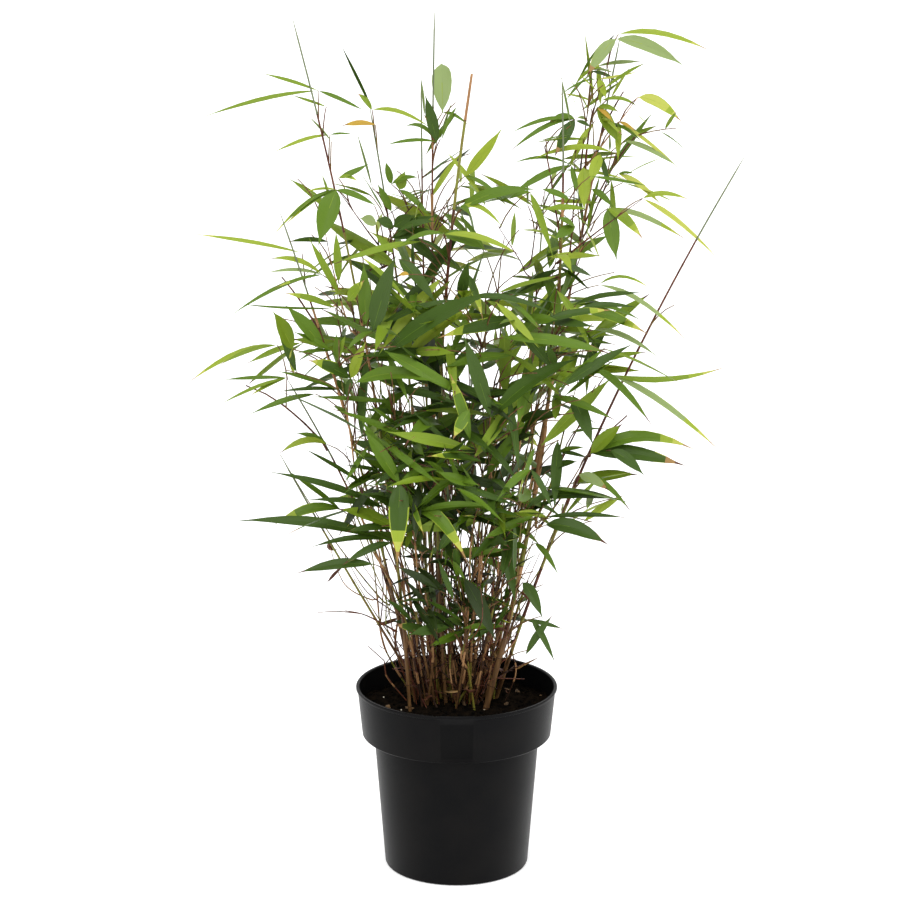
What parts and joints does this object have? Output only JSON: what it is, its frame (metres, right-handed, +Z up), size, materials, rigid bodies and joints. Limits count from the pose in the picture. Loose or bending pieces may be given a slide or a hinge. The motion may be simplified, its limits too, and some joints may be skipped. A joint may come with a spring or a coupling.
{
  "type": "potted bamboo",
  "caption": "Clump of slender upright bamboo canes with airy masses of lance-shaped leaves, growing in a round tapered black nursery pot.",
  "frame": {"origin": "middle of the pot's flat underside", "axes": "+Z up along the pot's axis, -Y towards the pot's front, where its collar has a flat panel, +X to the right seen from the front"},
  "size_m": [0.4994, 0.267, 0.802],
  "materials": {
    "pot_plastic": "black polypropylene, satin with a faint mould grain",
    "compost": "dark, crumbly and moist",
    "cane": "smooth olive cane with straw and brown sheaths",
    "foliage": "thin lance-shaped green leaves with a soft sheen"
  },
  "bodies": {
    "root": {"bough_left_far": "cane", "bough_left_wing": "cane", "bough_right_wing": "cane", "bough_tower_inner": "cane", "bough_tower_outer": "cane", "bough_tower_top": "cane", "cane_broken": "cane", "cane_centre": "cane", "cane_centre_back": "cane", "cane_left_arch": "cane", "cane_left_high": "cane", "cane_left_low": "cane", "cane_left_second": "cane", "cane_left_tall": "cane", "cane_right_back": "cane", "cane_right_main": "cane", "cane_right_shoot": "cane", "cane_right_tall": "cane", "cane_short_back": "cane", "cane_short_back_left": "cane", "cane_short_back_right": "cane", "cane_short_front_left": "cane", "cane_short_front_right": "cane", "cane_short_right": "cane", "compost": "compost", "leaves_back_high": "foliage", "leaves_back_left": "foliage", "leaves_back_low": "foliage", "leaves_back_right": "foliage", "leaves_centre_tip": "foliage", "leaves_crown_centre": "foliage", "leaves_crown_left": "foliage", "leaves_crown_right": "foliage", "leaves_front_hem": "foliage", "leaves_front_left": "foliage", "leaves_front_right": "foliage", "leaves_heart_centre": "foliage", "leaves_heart_left": "foliage", "leaves_heart_right": "foliage", "leaves_left_far": "foliage", "leaves_left_hem": "foliage", "leaves_left_high": "foliage", "leaves_left_middle": "foliage", "leaves_left_second": "foliage", "leaves_left_shoulder": "foliage", "leaves_left_skirt": "foliage", "leaves_left_tip": "foliage", "leaves_left_wing": "foliage", "leaves_right_fan": "foliage", "leaves_right_hem": "foliage", "leaves_right_high": "foliage", "leaves_right_long": "foliage", "leaves_right_shoulder": "foliage", "leaves_right_skirt": "foliage", "leaves_right_wing": "foliage", "leaves_tower": "foliage", "leaves_tower_inner": "foliage", "leaves_tower_outer": "foliage", "leaves_tower_tip": "foliage", "pot": "pot_plastic"}
  },
  "joints": []
}
